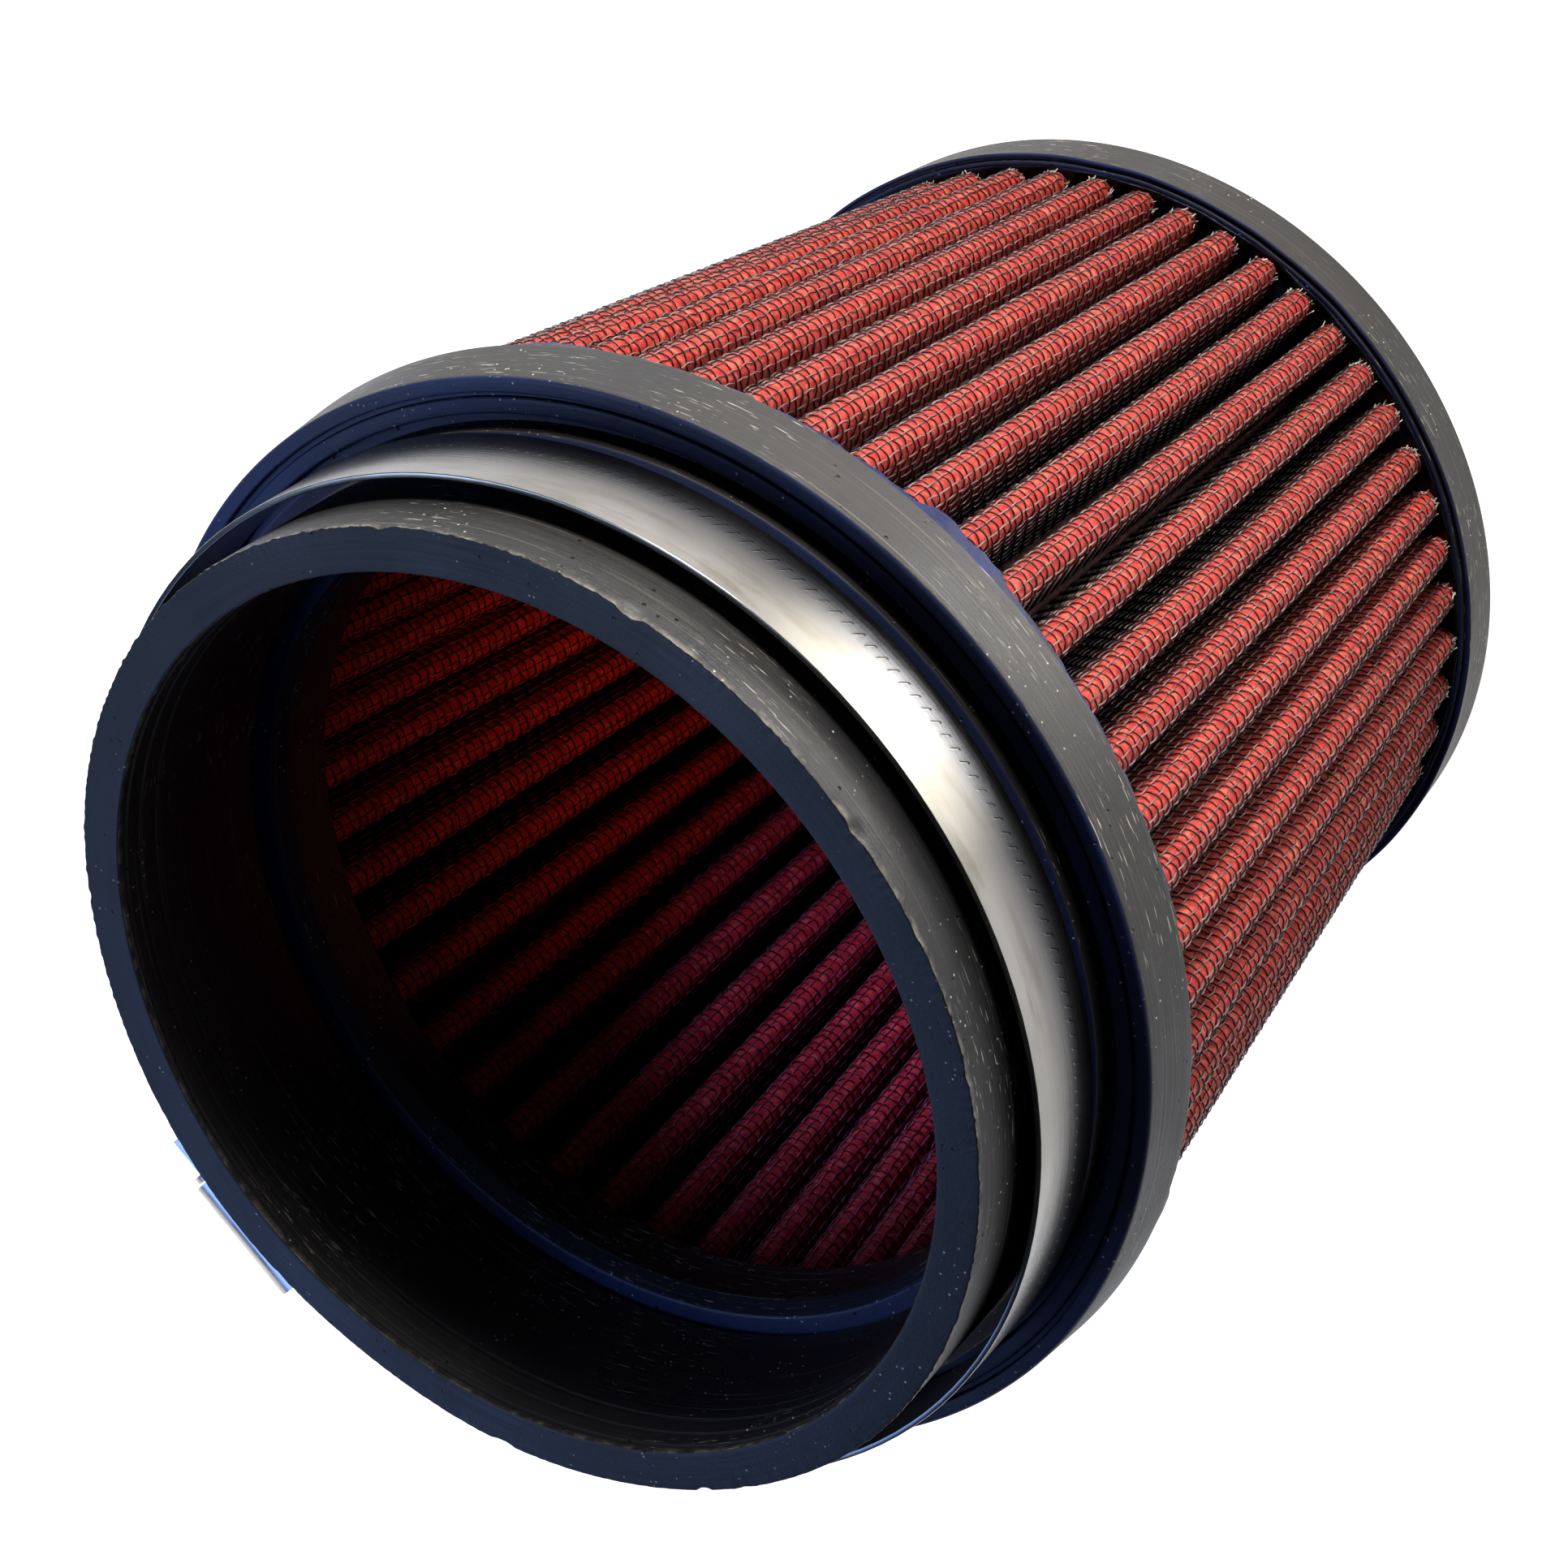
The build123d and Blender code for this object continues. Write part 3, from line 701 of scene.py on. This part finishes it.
def drops(name, count, seed, radius, z, size):
    draw = np.random.default_rng(seed)
    angle = draw.uniform(0, TAU, count)
    ring = radius + draw.uniform(-0.15, 0.15, count) * MM
    height = z + draw.uniform(-0.1, 0.1, count) * MM
    centres = np.stack([ring * np.cos(angle), ring * np.sin(angle), height], -1)
    return blobs(name, centres, draw.uniform(0.4, 1.0, count) * size)


def sealant_ring(name, inner, outer, low, high, seed):
    """Poured sealant with an uneven face, higher against the rubber beside it."""

    def uneven(radius, height, theta):
        visible = smooth_step((low + high) / 2 * MM, max(low, high) * MM, height)
        ripple = 0.12 * np.sin(theta * PLEATS + 3 * np.sin(radius * 700))
        ripple = ripple + 0.25 * wobble(theta, seed, 3, 60, 0.4)
        climb = smooth_step((outer - 1.2) * MM, outer * MM, radius) * 0.5
        return radius, height + visible * (ripple + climb - 0.25) * MM, theta

    corners = [(inner, high, 0), (outer, high, 0), (outer, low, 0), (inner, low, 0)]
    return lathe(name, corners, 1000, 0.4, uneven)


# ---------------------------------------------------------------- clamp


def eased(node, name, width):
    """A copy of a CAD node with its sharp edges rounded off."""
    obj = bpy.data.objects.new(name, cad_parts[node].data.copy())
    bpy.context.scene.collection.objects.link(obj)
    weld = obj.modifiers.new("weld", "WELD")
    weld.merge_threshold = 0.001 * MM
    bevel = obj.modifiers.new("ease", "BEVEL")
    bevel.width = width
    bevel.segments = 2
    bevel.limit_method = "ANGLE"
    bevel.angle_limit = math.radians(40)
    normals = obj.modifiers.new("normals", "WEIGHTED_NORMAL")
    normals.keep_sharp = False
    obj.data.polygons.foreach_set("use_smooth", np.full(len(obj.data.polygons), True))
    return obj


# ---------------------------------------------------------------- pieces

finish_piece(neck_and_flange(), RUBBER, "filter", "neck_rubber", "neck_flange")
finish_piece(cap(), RUBBER, "filter", "cap_rubber", "end_cap")
finish_piece(flange_flash(), POTTING, "filter", "sealant")
cap_potting = sealant_ring("cap_potting", 38.6, 52.75, -132, -127.1, 31)
finish_piece(cap_potting, BLACK_POTTING, "filter", "sealant", "cap_sealant")
cap_drops = drops("cap_potting_drops", 26, 33, CAP_POCKET_R, CAP_TOP, 0.4 * MM)
finish_piece(cap_drops, POTTING, "filter", "sealant")
bore_drops = drops("bore_potting_drops", 30, 34, 49.45 * MM, -24.2 * MM, 0.22 * MM)
finish_piece(bore_drops, POTTING, "filter", "sealant")
repaint("flange_sealant", POTTING)
repaint("seam_strip", SEAM_METAL)

CREST_S = np.r_[-6.8, -5.8, np.arange(-4.95, 5, 0.45), 5.8, 6.8] * MM
VALLEY_S = np.linspace(-4.5, 4.5, 9) * MM
PLY_OUT = STACK_T / 2 - SCREEN_T - 0.1 * MM
outer_gauze = gauze_sheet("outer_gauze", PLY_OUT, 1, CREST_S, VALLEY_S)
finish_piece(outer_gauze, GAUZE, "filter", "red_gauze", "gauze_ply_1")
inner_gauze = gauze_sheet("inner_gauze", -PLY_OUT, -1, VALLEY_S, CREST_S)
finish_piece(inner_gauze, INNER_GAUZE, "filter", "red_gauze", "gauze_ply_4")
for ply in ("gauze_ply_2", "gauze_ply_3"):
    repaint(ply, MIDDLE_GAUZE)

for side, columns, along, over in (
    ("outer", 9, LONG_WIRE, CROSS_WIRE),
    ("inner", 5, INNER_LONG_WIRE, INNER_CROSS_WIRE),
):
    for obj, paint in zip(screen_wires(side, columns), (along, over, over)):
        finish_piece(obj, paint, "filter", f"{side}_wire", f"{side}_screen")
LAST_WIRE = PACK_HIGH - FIRST_WIRE - WIRE_ROWS * WIRE_PITCH
finish_piece(frayed_ends("frayed_wire_ends", LAST_WIRE + 0.2 * MM), CUT_WIRE, "filter", "outer_wire")

for node, name, width, paint, body, slot in (
    ("clamp_band", "worm_drive_band", 0.12, BAND_STEEL, "clamp", "band_steel"),
    ("clamp_housing", "screw_housing", 0.25, HOUSING_STEEL, "clamp", "housing_steel"),
    ("clamp_saddle", "housing_saddle", 0.15, HOUSING_STEEL, "clamp", "housing_steel"),
    ("clamp_screw", "worm_screw", 0.15, SCREW_STEEL, "screw", "screw_steel"),
):
    finish_piece(eased(node, name, width * MM), paint, body, slot, node)

# ---------------------------------------------------------------- stage, light and camera

FLOOR_HALF = 3.0
HORIZON = (1.0, 1.0, 1.0, 1)


def stage_floor():
    corners = [(x * FLOOR_HALF, y * FLOOR_HALF, CAP_LOW) for x, y in ((-1, -1), (1, -1), (1, 1), (-1, 1))]
    obj = mesh_object("pale_floor", corners, [(0, 1, 2, 3)])
    obj.data.materials.append(floor_paint().material)


def area_light(name, place, aim, size, power, colour, spread=180):
    lamp = bpy.data.lights.new(name, "AREA")
    lamp.shape = "DISK"
    lamp.size = size
    lamp.energy = power
    lamp.color = colour
    lamp.spread = math.radians(spread)
    obj = bpy.data.objects.new(name, lamp)
    obj.location = place
    obj.rotation_euler = (Vector(aim) - Vector(place)).to_track_quat("-Z", "Y").to_euler()
    obj.visible_camera = False
    bpy.context.scene.collection.objects.link(obj)


def sky(colour, strength):
    """A dim sky over a pale band at the horizon, which carries the floor on into the distance."""
    world = bpy.data.worlds.new("soft_sky")
    world.use_nodes = True
    nodes, links = world.node_tree.nodes, world.node_tree.links
    direction = nodes.new("ShaderNodeTexCoord").outputs["Generated"]
    split = nodes.new("ShaderNodeSeparateXYZ")
    links.new(direction, split.inputs["Vector"])
    height = nodes.new("ShaderNodeMapRange")
    for socket, value in (("From Min", 0.1), ("From Max", 0.2), ("To Min", 0.0), ("To Max", 1.0)):
        height.inputs[socket].default_value = value
    links.new(split.outputs["Z"], height.inputs["Value"])
    fade = nodes.new("ShaderNodeMix")
    fade.data_type = "RGBA"
    links.new(height.outputs["Result"], fade.inputs[0])
    fade.inputs[6].default_value = HORIZON
    fade.inputs[7].default_value = (*(strength * part for part in colour), 1)
    links.new(fade.outputs[2], nodes["Background"].inputs["Color"])
    bpy.context.scene.world = world


def photo_camera():
    lens = bpy.data.cameras.new("camera")
    lens.lens = 80.9
    lens.sensor_width = 36
    obj = bpy.data.objects.new("camera", lens)
    place = Vector((-0.0001, -0.27399, 0.24035))
    aim = Vector((0.00126, -0.03013, -0.02446))
    roll = math.radians(-129.3)
    turn = (aim - place).to_track_quat("-Z", "Y").to_matrix() @ Matrix.Rotation(roll, 3, "Z")
    obj.matrix_world = Matrix.Translation(place) @ turn.to_4x4()
    bpy.context.scene.collection.objects.link(obj)
    bpy.context.scene.camera = obj


stage_floor()
sky((0.45, 0.62, 1.0), 0.05)
area_light("key", (0.37, -0.47, -0.03), (0, 0, -0.065), 0.16, 5.6, (1.0, 0.95, 0.86))
area_light("floor_pool", (0.0, -0.25, 0.06), (0.0, -0.175, CAP_LOW), 0.05, 0.5, (1.0, 0.98, 0.93), 36)
area_light("blue_sky", (0.16, 0.16, 0.4), (0, 0, -0.02), 0.3, 1.2, (0.45, 0.62, 1.0))
area_light("back_sky", (-0.04, 0.44, 0.28), (0, 0.05, -0.02), 0.24, 0.45, (0.25, 0.42, 1.0))
area_light("warm_glow", (-0.012, -0.02, -0.08), (0.04, 0.03, -0.08), 0.02, 0.0035, (1.0, 0.2, 0.08), 90)
area_light("purple_glow", (0.012, -0.008, -0.07), (-0.04, 0.018, -0.09), 0.02, 0.014, (0.52, 0.33, 1.0), 100)
photo_camera()
bpy.context.scene.view_settings.view_transform = "Standard"
